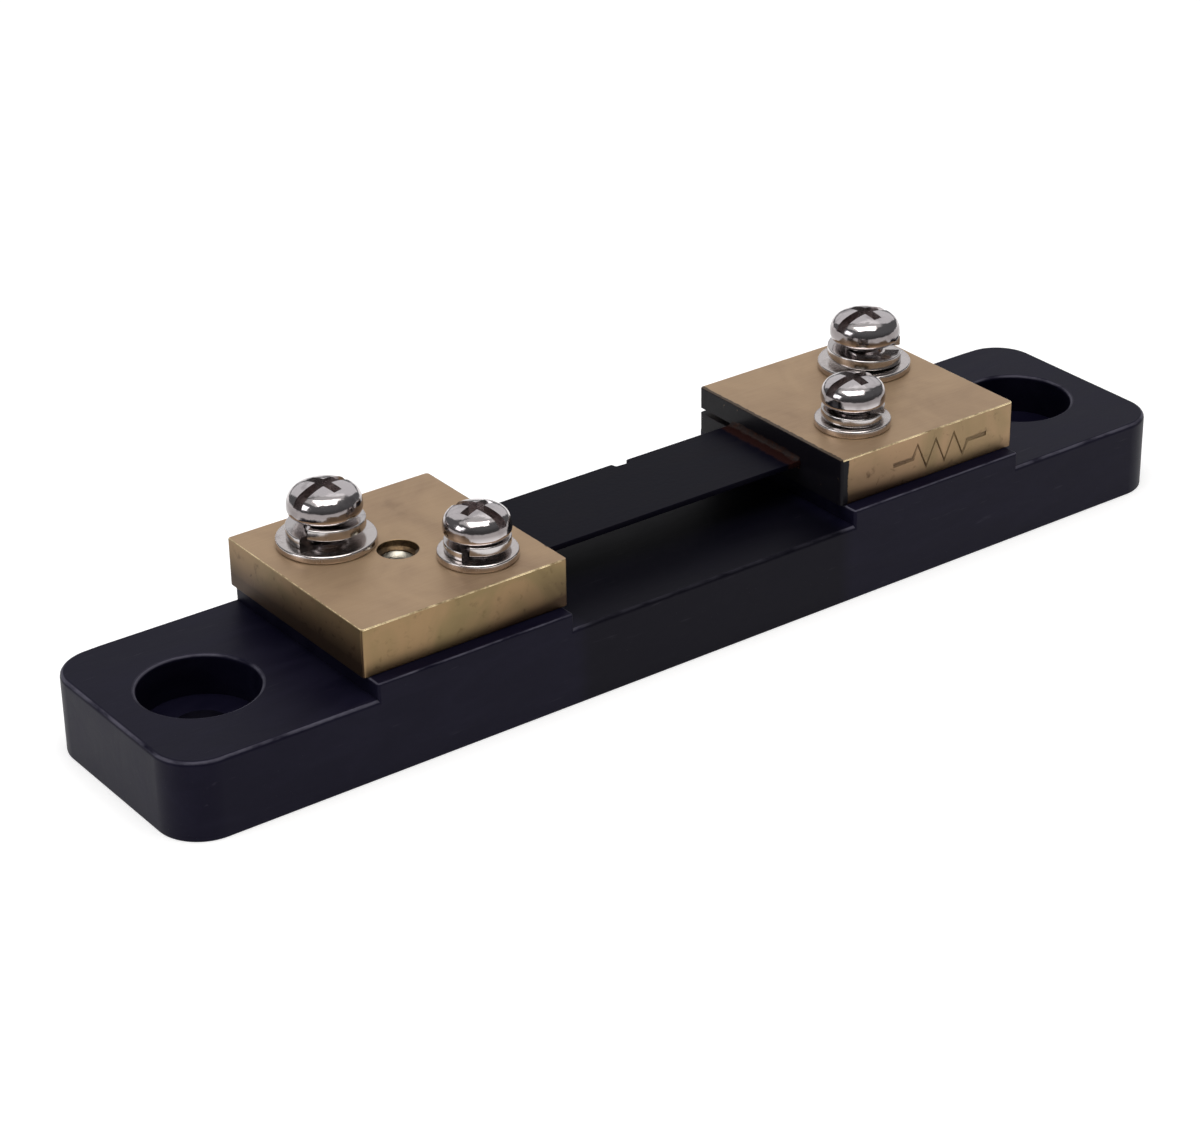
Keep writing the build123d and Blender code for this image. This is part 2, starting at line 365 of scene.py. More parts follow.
def platedSteel(name):  # bright plate over formed steel: wavy, with hairlines and dull patches
    look = plated[name]
    material, pen, shader = blankMaterial(name + "Plate", {"Metallic": 1.0})
    wave = noise(pen, patternAt(pen, 1.6 * mm), 2.0, 0.5, 0.3)
    fine = noise(pen, patternAt(pen, 0.12 * mm), 3.0, 0.65)
    hair = noise(pen, patternAt(pen, (1.8 * mm, 0.05 * mm, 0.3 * mm), (0.3, 0.2, 0.8)), 2.0, 0.7)
    dull = wave.step(0.50, 0.74) * 0.5 + fine.step(0.62, 0.80) * 0.35
    sunk = pen.add("ShaderNodeAttribute", {"attribute_name": "sunk"}, output=2)
    rim = pen.add("ShaderNodeAttribute", {"attribute_name": "rim"}, output=2)
    tone = blendColour(pen, dull, look["colour"], look["dull"])
    # painted reflection on the widest band, painted shade in the slot and cross
    for depth, dark in ((rim, rimReflection), (sunk, recess)):
        tone = blendColour(pen, (depth * dark["share"]).least(dark["share"]), tone, dark["tone"])
    feed(tone, shader, "Base Color")
    rough = look["rough"] + dull * 0.12 + hair.step(0.58, 0.75) * 0.10 + sunk * 0.32
    feed(rough, shader, "Roughness")
    first = bump(pen, wave, look["wave"], 0.12)
    feed(bump(pen, fine + hair * 0.7, 0.03, 0.012, first), shader, "Normal")
    return material


strip = {
    "lacquer": (0.0022, 0.0020, 0.0058),
    "bare": (0.008, 0.0065, 0.0085),
    "tint": (0.026, 0.009, 0.007),
    "tintWidth": 1.7,
    "specular": 0.035,
    "specularTint": (0.8, 0.76, 1.0, 1),
}


def lacqueredManganin():  # black lacquer with a slight orange peel, scorched brown beside the braze
    fixed = {"Specular IOR Level": strip["specular"], "Specular Tint": strip["specularTint"]}
    material, pen, shader = blankMaterial("lacqueredManganin", fixed)
    peel = noise(pen, patternAt(pen, 0.5 * mm), 2.0, 0.5)
    runs = noise(pen, patternAt(pen, (6 * mm, 1.5 * mm, 2 * mm)), 3.0, 0.5, 0.5)
    ragged = noise(pen, patternAt(pen, 0.8 * mm, centre=(0, 3, 1)), 4.0, 0.65)
    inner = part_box("terminal_block_right")[0].x / mm
    scorch = abs(axisOf(pen, 0)) - inner + strip["tintWidth"] + ragged * 0.9 - 0.4
    heat = scorch.step(0.0, 0.5)
    tone = blendColour(pen, runs.step(0.35, 0.8) * 0.35, strip["lacquer"], strip["bare"])
    feed(blendColour(pen, heat * 0.9, tone, strip["tint"]), shader, "Base Color")
    feed(heat * 0.45, shader, "Metallic")
    feed(0.24 + runs * 0.14 + heat * 0.10, shader, "Roughness")
    first = bump(pen, peel + runs * 0.5, 0.10, 0.08)
    feed(bump(pen, ragged * heat, 0.25, 0.08, first), shader, "Normal")
    return material


alloy = {
    "stops": [
        (0.30, (0.006, 0.003, 0.003)),
        (0.55, (0.018, 0.007, 0.005)),
        (0.80, (0.06, 0.022, 0.012)),
    ],
    "lump": 0.7,
    "pit": 0.15,
}


def heatTintedBraze():  # silver braze gone red-brown in the flame, under a thin coat of lacquer
    material, pen, shader = blankMaterial("heatTintedBraze", {"Specular IOR Level": 0.2})
    lumps = noise(pen, patternAt(pen, alloy["lump"] * mm), 4.0, 0.6, 0.4)
    pits = noise(pen, patternAt(pen, alloy["pit"] * mm), 3.0, 0.6)
    feed(pen.add("ShaderNodeValToRGB", {"stops": alloy["stops"]}, {0: lumps}), shader, "Base Color")
    feed(lumps.step(0.4, 0.7) * 0.6, shader, "Metallic")
    feed(0.42 + pits * 0.15, shader, "Roughness")
    feed(bump(pen, lumps + pits * 0.3, 0.35, 0.10), shader, "Normal")
    return material


finish = {
    "moulding": blackMoulding(),
    "edge": edgeHighlight(),
    "tapped": tappedBrass(),
    "nickel": platedSteel("nickel"),
    "ring": platedSteel("ring"),
    "spring": platedSteel("spring"),
    "zinc": platedSteel("zinc"),
    "strip": lacqueredManganin(),
    "braze": heatTintedBraze(),
}
for side, sign in sides.items():
    finish["brass_" + side] = brushedBrass(side, sign)
print("materials made:", len(finish))


def newObject(name, mesh, materials=()):
    piece = bpy.data.objects.new(name, mesh)
    bpy.context.scene.collection.objects.link(piece)
    for material in materials:
        mesh.materials.append(material)
    return piece


def meshFrom(work, name):  # a bmesh finished into a mesh, faces outwards
    bmesh.ops.recalc_face_normals(work, faces=work.faces)
    mesh = bpy.data.meshes.new(name)
    work.to_mesh(mesh)
    work.free()
    return mesh


def prism(outline, low, high, name, upright=True):  # an outline in plan, or else in side view
    work = bmesh.new()

    def corner(a, b, depth):
        return (a * mm, b * mm, depth * mm) if upright else (a * mm, depth * mm, b * mm)

    rings = [[work.verts.new(corner(a, b, depth)) for a, b in outline] for depth in (low, high)]
    for ring in rings:
        work.faces.new(ring)
    for i in range(len(outline)):
        j = (i + 1) % len(outline)
        work.faces.new((rings[0][i], rings[0][j], rings[1][j], rings[1][i]))
    return newObject(name, meshFrom(work, name))


def roundedOutline(width, depth, radius, steps=18, centre=(0, 0)):
    points = []
    for quarter, (sx, sy) in enumerate(((1, 1), (-1, 1), (-1, -1), (1, -1))):
        for step in range(steps + 1):
            angle = math.radians(90 * (quarter + step / steps))
            x = centre[0] + sx * (width / 2 - radius) + radius * math.cos(angle)
            y = centre[1] + sy * (depth / 2 - radius) + radius * math.sin(angle)
            points.append((x, y))
    return points


def arc(centre, radius, start, end, steps):
    turns = [math.radians(start + (end - start) * step / steps) for step in range(steps + 1)]
    return [(centre[0] + radius * math.cos(t), centre[1] + radius * math.sin(t)) for t in turns]


def roundOutline(radius, centre, steps=96):
    turns = [2 * math.pi * step / steps for step in range(steps)]
    return [(centre[0] + radius * math.cos(a), centre[1] + radius * math.sin(a)) for a in turns]


def turnedTool(profile, centre, steps=96, bright=()):  # a cutter from (radius, height), foot to top
    work = bmesh.new()
    rings = []
    for radius, height in profile:
        spots = roundOutline(radius, centre, steps)
        rings.append([work.verts.new((x * mm, y * mm, height * mm)) for x, y in spots])
    for level, (a, b) in enumerate(zip(rings, rings[1:])):
        for i in range(steps):
            j = (i + 1) % steps
            work.faces.new((a[i], a[j], b[j], b[i])).material_index = int(level in bright)
    work.faces.new(rings[0])
    work.faces.new(rings[-1])
    return newObject("tool", meshFrom(work, "tool"))


def cut(piece, tool, operation="DIFFERENCE"):  # the tool is used up
    modifier = piece.modifiers.new("cut", "BOOLEAN")
    modifier.operation = operation
    modifier.solver = "EXACT"
    modifier.object = tool
    bake(piece)
    bpy.data.objects.remove(tool)


def bake(piece):  # what the modifiers show becomes the mesh
    graph = bpy.context.evaluated_depsgraph_get()
    mesh = bpy.data.meshes.new_from_object(piece.evaluated_get(graph), depsgraph=graph)
    old = piece.data
    piece.modifiers.clear()
    piece.data = mesh
    mesh.name = piece.name
    bpy.data.meshes.remove(old)


def softenEdges(piece, widthOf, segments=3, material=-1):  # rounds each edge by its own width
    work = bmesh.new()
    work.from_mesh(piece.data)
    bmesh.ops.remove_doubles(work, verts=work.verts, dist=0.002 * mm)
    flat = math.radians(0.5)
    bmesh.ops.dissolve_limit(work, angle_limit=flat, verts=work.verts, edges=work.edges)
    layers = work.edges.layers.float
    weight = layers.get("bevel_weight_edge") or layers.new("bevel_weight_edge")
    for edge in work.edges:
        if len(edge.link_faces) == 2 and edge.calc_face_angle(0) > math.radians(35):
            middle = (edge.verts[0].co + edge.verts[1].co) / (2 * mm)
            edge[weight] = widthOf(middle, edge)
    work.to_mesh(piece.data)
    work.free()
    modifier = piece.modifiers.new("soften", "BEVEL")
    modifier.limit_method = "WEIGHT"
    modifier.width = mm
    modifier.segments = segments
    modifier.material = material
    modifier.use_clamp_overlap = True
    modifier.miter_outer = "MITER_ARC"
    bake(piece)


def smooth(piece, angle=32, weight=50):  # a higher weight keeps the broad faces flat
    piece.data.shade_smooth()
    piece.data.set_sharp_from_angle(angle=math.radians(angle))
    modifier = piece.modifiers.new("weigh", "WEIGHTED_NORMAL")
    modifier.keep_sharp = True
    modifier.weight = weight
    bake(piece)
    return piece


def place(piece, body, slot, *nodes):
    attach(piece, body)
    if nodes:
        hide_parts(*nodes)
    return piece


def middleOf(node):
    low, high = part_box(node)
    return (low + high) / (2 * mm)


def sizeOf(node):
    low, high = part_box(node)
    return (high - low) / mm


def newTree(name, sizes):  # sizes are the tree's named inputs, with the values they start at
    tree = bpy.data.node_groups.new(name, "GeometryNodeTree")
    tree.interface.new_socket("Geometry", in_out="INPUT", socket_type="NodeSocketGeometry")
    for label, value in sizes.items():
        kind = "NodeSocketInt" if isinstance(value, int) else "NodeSocketFloat"
        tree.interface.new_socket(label, in_out="INPUT", socket_type=kind).default_value = value
    tree.interface.new_socket("Material", in_out="INPUT", socket_type="NodeSocketMaterial")
    tree.interface.new_socket("Geometry", in_out="OUTPUT", socket_type="NodeSocketGeometry")
    start = tree.nodes.new("NodeGroupInput")
    return {socket.name: Wire(tree, socket) for socket in start.outputs if socket.name}


def endTree(shape, material):
    real = shape.add("GeometryNodeRealizeInstances", None, {0: shape})
    painted = shape.add("GeometryNodeSetMaterial", None, {"Geometry": real, "Material": material})
    out = shape.tree.nodes.new("NodeGroupOutput")
    shape.tree.links.new(painted.socket, out.inputs[0])
    return shape.tree


def grow(name, tree, sizes, material, outline=None):  # a plain closed mesh from a tree
    piece = newObject(name, outline or bpy.data.meshes.new(name))
    modifier = piece.modifiers.new("grow", "NODES")
    modifier.node_group = tree
    for item in tree.interface.items_tree:
        if item.in_out == "INPUT" and item.name in sizes:
            modifier[item.identifier] = sizes[item.name]
        if item.in_out == "INPUT" and item.name == "Material":
            modifier[item.identifier] = material
    bake(piece)
    work = bmesh.new()
    work.from_mesh(piece.data)
    bmesh.ops.remove_doubles(work, verts=work.verts, dist=0.001 * mm)
    bmesh.ops.recalc_face_normals(work, faces=work.faces)
    work.to_mesh(piece.data)
    work.free()
    return piece


def metres(wires, name):  # an input in millimetres, as metres
    return wires[name] * mm


def vector(pen, x=0.0, y=0.0, z=0.0):
    return pen.add("ShaderNodeCombineXYZ", None, {0: x, 1: y, 2: z})


def moved(shape, x=0.0, y=0.0, z=0.0, turn=None, scale=None):
    values = {"Geometry": shape, "Translation": vector(shape, x, y, z)}
    if turn is not None:
        values["Rotation"] = turn
    if scale is not None:
        values["Scale"] = scale
    return shape.add("GeometryNodeTransform", None, values)


def swept(pen, path, section, capped=True):
    values = {"Curve": path, "Profile Curve": section, "Fill Caps": capped}
    return pen.add("GeometryNodeCurveToMesh", None, values)


def roundedBar(pen, width, height, radius):  # the section of a washer
    values = {"Width": width, "Height": height}
    bar = pen.add("GeometryNodeCurvePrimitiveQuadrilateral", {"mode": "RECTANGLE"}, values)
    values = {"Curve": bar, "Count": 4, "Radius": radius, "Limit Radius": True}
    return pen.add("GeometryNodeFilletCurve", {"mode": "POLY"}, values)


def helix(pen, radius, height, turns, steps, rightHand):
    values = {"Resolution": steps, "Rotations": turns, "Start Radius": radius, "End Radius": radius}
    values = {**values, "Height": height, "Reverse": rightHand}
    spiral = pen.add("GeometryNodeCurveSpiral", None, values)
    return pen.add("GeometryNodeSetCurveNormal", {"mode": "Z_UP"}, {"Curve": spiral})


threadForm = {"foot": 0.86, "crest": 0.129, "runOut": 14, "least": 0.02}  # shares of the pitch


def threadRidge(pen, wires, outward=1):  # runs out at both ends; inwards for a tapped hole
    rise = metres(wires, "Pitch") * wires["Turns"]
    path = helix(pen, metres(wires, "Thread Radius"), rise, wires["Turns"], 64, True)
    along = pen.add("GeometryNodeSplineParameter")
    runOut = (along.least(1 - along) * threadForm["runOut"]).least(1.0).most(threadForm["least"])
    path = pen.add("GeometryNodeSetCurveRadius", None, {"Curve": path, "Radius": runOut})
    depth, pitch = metres(wires, "Thread Depth"), metres(wires, "Pitch")
    corners = {"Bottom Width": pitch * threadForm["foot"], "Top Width": pitch * threadForm["crest"]}
    corners = {**corners, "Offset": 0.0, "Height": depth}
    section = pen.add("GeometryNodeCurvePrimitiveQuadrilateral", {"mode": "TRAPEZOID"}, corners)
    section = moved(section, turn=(0, 0, -outward * math.pi / 2))
    section = moved(section, x=depth * (outward / 2))
    ridge = swept(pen, path, section)
    return moved(ridge, *(metres(wires, name) for name in ("X", "Y", "Thread Start")))


threadInputs = {
    "Thread Start": 0.0,
    "Thread Radius": 1.5,
    "Thread Depth": 0.45,
    "Pitch": 0.7,
    "Turns": 8.0,
}
ringInputs = {
    "X": 0.0,
    "Y": 0.0,
    "Bottom": 0.0,
    "Inner": 2.0,
    "Outer": 4.0,
    "Thickness": 0.8,
    "Edge": 0.15,
}
screwInputs = {
    "X": 0.0,
    "Y": 0.0,
    "Bearing": 0.0,
    "Head Height": 3.2,
    "Head Radius": 3.6,
    "Crown": 5.5,
    "Slot Width": 1.0,
    "Slot Depth": 1.3,
    "Cross Length": 4.6,
    "Cross Depth": 2.0,
    "Drive": 0.0,
    "Upside": 1.0,
}


def ridgeTree():
    wires = newTree("tappedThread", {"X": 0.0, "Y": 0.0, **threadInputs})
    pen = wires["X"]
    return endTree(threadRidge(pen, wires, -1), wires["Material"])


def ringTree():
    wires = newTree("stampedRing", ringInputs)
    pen = wires["X"]
    inner, outer, thickness = (metres(wires, name) for name in ("Inner", "Outer", "Thickness"))
    values = {"Resolution": 128, "Radius": (inner + outer) / 2}
    path = pen.add("GeometryNodeCurvePrimitiveCircle", {"mode": "RADIUS"}, values)
    ring = swept(pen, path, roundedBar(pen, outer - inner, thickness, metres(wires, "Edge")))
    height = metres(wires, "Bottom") + thickness / 2
    ring = moved(ring, metres(wires, "X"), metres(wires, "Y"), height)
    return endTree(ring, wires["Material"])


def springTree():  # one open turn of square wire that climbs clockwise
    wires = newTree("springWasher", {**ringInputs, "Rise": 1.2, "Split": 0.0, "Gap": 14.0})
    pen = wires["X"]
    inner, outer, thickness = (metres(wires, name) for name in ("Inner", "Outer", "Thickness"))
    middle = (inner + outer) / 2
    share = 1 - wires["Gap"] / 360
    path = helix(pen, middle, metres(wires, "Rise"), share, 160, False)
    wire = swept(pen, path, roundedBar(pen, outer - inner, thickness, metres(wires, "Edge")))
    turn = (wires["Split"] - wires["Gap"] / 2) * math.radians(1)
    wire = moved(wire, turn=vector(pen, z=turn))
    height = metres(wires, "Bottom") + thickness / 2
    wire = moved(wire, metres(wires, "X"), metres(wires, "Y"), height)
    return endTree(wire, wires["Material"])


def headDepths(pen, body, wires):  # keeps how far points lie below the dome, and the widest band, for the plating's painted shade and painted reflection
    spot = {0: pen.add("GeometryNodeInputPosition")}
    x, y, z = (pen.add("ShaderNodeSeparateXYZ", None, spot, output=axis) / mm for axis in range(3))
    reach = (x * x + y * y) ** 0.5
    crown = wires["Crown"]
    dome = wires["Head Height"] - crown + (crown * crown - reach * reach).most(0.01) ** 0.5
    share = reach / wires["Head Radius"]
    lip = (share - 0.66).most(0.0) * 1.9
    sunk = (dome - z - lip).step(0.08, 1.0) * z.step(0.4, 0.7) * (1 - share.step(0.96, 1.0))
    band = share.step(0.90, 0.97) * z.step(0.55, 0.95) * (1 - z.step(1.55, 2.1))
    settings = {"data_type": "FLOAT", "domain": "POINT"}
    for label, value in {"sunk": sunk, "rim": band}.items():
        values = {"Geometry": body, "Name": label, "Value": value}
        body = pen.add("GeometryNodeStoreNamedAttribute", settings, values)
    return body


def screwTree():  # turns the outline it is given, cuts the slot and the cross, lays on the thread
    wires = newTree("panScrew", {**screwInputs, **threadInputs})
    pen = wires["X"]
    outline = pen.add("GeometryNodeMeshToCurve", None, {"Mesh": wires["Geometry"]})
    outline = moved(outline, x=-mm)
    values = {"Resolution": 128, "Radius": mm}
    axle = pen.add("GeometryNodeCurvePrimitiveCircle", {"mode": "RADIUS"}, values)
    body = swept(pen, axle, outline, capped=False)
    body = pen.add("GeometryNodeMergeByDistance", None, {"Geometry": body, "Distance": 5e-6})
    top = metres(wires, "Head Height")
    labels = ("Slot Width", "Slot Depth", "Cross Length")
    width, deep, long = (metres(wires, label) for label in labels)
    slot = pen.add("GeometryNodeMeshCube", None, {"Size": vector(pen, 0.02, width, deep * 2)})
    cross = {"Vertices": 4, "Radius Top": 0.7071, "Radius Bottom": 0.30, "Depth": 1.0}
    wing = pen.add("GeometryNodeMeshCone", None, cross)
    wing = moved(wing, z=-1.0, turn=(0, 0, math.pi / 4))
    tall = metres(wires, "Cross Depth") * 1.25
    shapes = (vector(pen, width * 1.15, long, tall), vector(pen, long, width * 1.15, tall))
    rise = tall * 0.25  # the wings start above the head, so that they cut clear through its dome
    wings = [moved(moved(wing, scale=shape), z=rise) for shape in shapes]
    tools = [moved(tool, z=top) for tool in (slot, *wings)]
    turned = vector(pen, z=wires["Drive"] * math.radians(1))
    tools = [moved(tool, turn=turned) for tool in tools]
    settings = {"operation": "DIFFERENCE", "solver": "EXACT"}
    for tool in tools:
        body = pen.add("GeometryNodeMeshBoolean", settings, {"Mesh 1": body, "Mesh 2": tool})
    body = headDepths(pen, body, wires)
    body = moved(body, turn=vector(pen, (1 - wires["Upside"]) * (math.pi / 2)))
    body = moved(body, *(metres(wires, label) for label in ("X", "Y", "Bearing")))
    both = pen.add("GeometryNodeJoinGeometry", None, {0: [body, threadRidge(pen, wires)]})
    return endTree(both, wires["Material"])


trees = {"thread": ridgeTree(), "ring": ringTree(), "spring": springTree(), "screw": screwTree()}
print("geometry trees made:", len(trees))


baseShape = {
    "corner": 4.5,
    "topEdge": 0.5,
    "padEdge": 0.3,
    "rimEdge": 0.4,
    "footEdge": 0.15,
    "padInset": 0.5,
    "mountInset": 9.4,
    "mountHole": 2.75,
    "mountRecess": 5.75,
    "recessDepth": 4.2,
    "deck": 8.2,
    "fixingHole": 2.5,
    "fixingRecess": 4.8,
    "fixingDepth": 4.5,
}


def makeBase():
    shape = baseShape
    size = sizeOf("base")
    half = size.x / 2
    past = 5.0  # how far a cutting tool stands out of what it cuts
    deck, top = shape["deck"], size.z
    base = prism(roundedOutline(size.x, size.y, shape["corner"]), 0, top, "base_moulding")
    blockLow, blockHigh = (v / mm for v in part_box("terminal_block_right"))
    near, far = blockLow.x + shape["padInset"], blockHigh.x - shape["padInset"]
    pad = [(far, deck), (far, top + past), (near, top + past), (near, deck)]
    right = [(half + past, -past), (half + past, deck), *pad]
    outline = right + [(-x, z) for x, z in reversed(right)]
    cut(base, prism(outline, -size.y, size.y, "sideView", upright=False), "INTERSECT")

    def edgeWidth(middle, edge):
        flat = abs(edge.verts[0].co.z - edge.verts[1].co.z) < 0.01 * mm
        reach = abs(middle.x)
        if not flat:
            return shape["padEdge"] if reach < far + 0.1 and middle.z > deck else 0
        if abs(middle.z - top) < 0.01:
            return shape["padEdge"]
        if abs(middle.z - deck) < 0.01:
            return 0 if min(abs(reach - near), abs(reach - far)) < 0.01 else shape["topEdge"]
        return shape["footEdge"]

    softenEdges(base, edgeWidth, segments=4)
    wide, rim = shape["mountRecess"], shape["rimEdge"]
    lip = arc((wide + rim, deck - rim), rim, 180, 95, 6)
    above = [(wide + rim, deck + 0.02), (wide + rim, top + past)]
    recess = [(wide, deck - shape["recessDepth"]), *lip, *above]

    def bore(radius, end, centre, steps=96):
        cut(base, turnedTool([(radius, -past), (radius, end)], centre, steps))

    for side, sign in sides.items():
        mount = (sign * (half - shape["mountInset"]), 0)
        bore(shape["mountHole"], top + past, mount)
        cut(base, turnedTool(recess, mount, 128))
        middle = middleOf("fixing_washer_" + side)
        fixing = (middle.x, middle.y)
        bore(shape["fixingHole"], top + past, fixing, 64)
        bore(shape["fixingRecess"], shape["fixingDepth"], fixing)
    base.data.materials.clear()
    base.data.materials.append(finish["moulding"])
    return place(smooth(base, weight=92), "root", "black_moulding", "base")


makeBase()
print("base made")


blockShape = {
    "corner": 0.35,
    "edge": 0.12,
    "mouth": 0.08,
    "fixingMouth": 0.04,
    "slotDepth": 3.6,
    "lineHole": 2.0,
    "senseHole": 1.75,
    "fixingHole": 2.0,
}
markShape = {
    "length": 12.5,
    "height": 2.7,
    "lead": 2.6,
    "teeth": 3,
    "groove": 0.42,
    "sunk": 0.10,
    "shift": 1.6,
}


def markGroove(low, high):  # a resistor sign cut into the front face: two leads and a zigzag
    shape = markShape
    centre = (low.x + high.x) / 2 + shape["shift"]
    middle = (low.z + high.z) / 2
    start = centre - shape["length"] / 2
    step = (shape["length"] - 2 * shape["lead"]) / (4 * shape["teeth"])
    points = [(start, 0), (start + shape["lead"], 0)]
    for tooth in range(shape["teeth"]):
        first = start + shape["lead"] + 4 * step * tooth
        points += [(first + step, shape["height"] / 2), (first + 3 * step, -shape["height"] / 2)]
    points += [(start + shape["length"] - shape["lead"], 0), (start + shape["length"], 0)]
    curve = bpy.data.curves.new("mark", "CURVE")
    curve.dimensions = "3D"
    curve.bevel_depth = shape["groove"] * mm
    curve.bevel_resolution = 3
    curve.use_fill_caps = True
    line = curve.splines.new("POLY")
    line.points.add(len(points) - 1)
    for point, (x, z) in zip(line.points, points):
        point.co = (x * mm, (low.y + shape["sunk"] - shape["groove"]) * mm, (middle + z) * mm, 1)
    tool = newObject("mark", curve)
    graph = bpy.context.evaluated_depsgraph_get()
    mesh = bpy.data.meshes.new_from_object(tool.evaluated_get(graph))
    bpy.data.objects.remove(tool)
    return newObject("markTool", mesh)


def makeBlock(side, sign):
    shape = blockShape
    low, high = (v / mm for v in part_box("terminal_block_" + side))
    middle = (low + high) / 2
    size = high - low
    outline = roundedOutline(size.x, size.y, shape["corner"], 5, (middle.x, middle.y))
    block = prism(outline, low.z, high.z, "brass_block_" + side)
    holes = {
        "line": (shape["lineHole"], middleOf("line_flat_washer_" + side)),
        "sense": (shape["senseHole"], middleOf("sense_flat_washer_" + side)),
        "fixing": (shape["fixingHole"], middleOf("fixing_washer_" + side)),
    }
    for name in ("brass_" + side, "edge", "tapped"):
        block.data.materials.append(finish[name])
    softenEdges(block, lambda middle, edge: shape["edge"], segments=2, material=1)
    for kind, (radius, centre) in holes.items():
        mouth = shape["fixingMouth" if kind == "fixing" else "mouth"]
        wide = radius + mouth
        profile = [(radius, low.z - 2), (radius, high.z - mouth)]
        profile += [(wide, high.z), (wide, high.z + 2)]
        bright = () if kind == "fixing" else (1,)
        cut(block, turnedTool(profile, (centre.x, centre.y), 80, bright))
    stripLow, stripHigh = (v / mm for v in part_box("resistor_strip"))
    face = low.x if sign > 0 else high.x
    ends = sorted((face - sign * 2, face + sign * shape["slotDepth"]))
    backs = (stripLow.y - 0.1, high.y + 2)
    slot = [(ends[0], backs[0]), (ends[1], backs[0]), (ends[1], backs[1]), (ends[0], backs[1])]
    cut(block, prism(slot, stripLow.z, stripHigh.z, "slot"))
    if sign > 0:
        cut(block, markGroove(low, high))
    inner = low.x if sign > 0 else -high.x
    for face in block.data.polygons:  # only the upper edges keep the painted highlight, away from the lacquered end
        x, y, z = face.center / mm
        if z < high.z - 0.4 or sign * x < inner + 0.25:
            face.material_index = 0
        # the hole walls take the tapped brass, with its painted shade
        for radius, centre in holes.values():
            within = math.hypot(x - centre.x, y - centre.y) < radius + 0.02
            if within and low.z + 0.1 < z < high.z - 0.1:
                face.material_index = 2
    place(smooth(block, 40, 92), "root", "brass_bar", "terminal_block_" + side)
    return holes, low, high


line = {
    "thread": 4.0,
    "pitch": 0.7,
    "length": 8.0,
    "head": 7.3,
    "headHeight": 3.2,
    "wall": 1.15,
    "crown": 7.2,
    "foot": 0.85,
    "slotWidth": 1.1,
    "slotDepth": 1.5,
    "cross": 4.9,
    "crossDepth": 2.2,
    "flatEdge": 0.2,
    "lock": 1.05,
    "lockEdge": 0.14,
}
sense = {
    "thread": 3.5,
    "pitch": 0.6,
    "length": 6.0,
    "head": 6.6,
    "headHeight": 2.85,
    "wall": 0.95,
    "crown": 6.6,
    "foot": 0.65,
    "slotWidth": 1.05,
    "slotDepth": 1.4,
    "cross": 4.5,
    "crossDepth": 1.95,
    "flatEdge": 0.18,
    "lock": 0.9,
    "lockEdge": 0.12,
}
fixing = {
    "thread": 4.0,
    "pitch": 0.7,
    "length": 10.0,
    "head": 7.0,
    "headHeight": 2.6,
    "wall": 0.9,
    "crown": 5.3,
    "foot": 0.3,
    "slotWidth": 1.0,
    "slotDepth": 1.2,
    "cross": 4.4,
    "crossDepth": 1.8,
    "flatEdge": 0.18,
}
leftAt = {  # where each lock washer is split and how its slot is turned, in degrees
    "line_left": (205.0, 12.0),
    "line_right": (328.0, 2.0),
    "sense_left": (215.0, -75.0),
    "sense_right": (300.0, 0.0),
    "fixing_left": (0.0, 20.0),
    "fixing_right": (0.0, 75.0),
}
play = {  # room round a shank, and how deep threads stand in what carries them
    "flat": 0.15,
    "lock": 0.05,
    "root": 0.03,
    "seat": 0.04,
    "tapping": 0.36,
}
turning = {
    "crownShare": 0.7,  # how much of the head's radius its crown takes
    "lip": 0.12,
    "side": 0.03,
    "neck": 0.2,
    "coreDepth": 0.61,  # a share of the pitch
    "crestGap": 0.05,
    "tipDome": 0.3,
    "tipInset": 0.35,
}


def coreOf(size):
    return size["thread"] / 2 - size["pitch"] * turning["coreDepth"]


def screwOutline(size, name):  # half a section: (reach, height) from the underside of the head
    half, top, crown = size["head"] / 2, size["headHeight"], size["crown"]
    tip = math.degrees(math.asin(turning["crownShare"] * half / crown))
    points = arc((0, top - crown), crown, 90, 90 - tip, 10)
    first = Vector(points[-1])
    shoulder = Vector((half - turning["side"], size["wall"] + turning["lip"]))
    span = shoulder - first
    inward = Vector((-math.sin(math.radians(tip)), -math.cos(math.radians(tip))))
    radius = span.length_squared / (2 * span.dot(inward))
    centre = first + inward * radius
    end = shoulder - centre
    points += arc(centre, radius, 90 - tip, math.degrees(math.atan2(end.y, end.x)), 12)[1:]
    foot = size["foot"]
    points += arc((half - foot, foot), foot, 0, -90, 9)
    core, shank, neck = coreOf(size), size["thread"] / 2 - 0.1, turning["neck"]
    points += [(shank, 0), (shank, -neck), (core, -neck - 0.3)]
    points += [(core, 0.6 - size["length"]), (core - 0.12, 0.42 - size["length"])]
    flat, dome = core - turning["tipInset"], turning["tipDome"]
    tipRound = (flat**2 + dome**2) / (2 * dome)
    reach = math.degrees(math.asin(flat / tipRound))
    points += arc((0, tipRound - size["length"]), tipRound, reach - 90, -90, 6)
    work = bmesh.new()
    dots = [work.verts.new((reach * mm, -height * mm, 0)) for reach, height in points]
    for a, b in zip(dots, dots[1:]):
        work.edges.new((a, b))
    mesh = bpy.data.meshes.new(name)
    work.to_mesh(mesh)
    work.free()
    return mesh


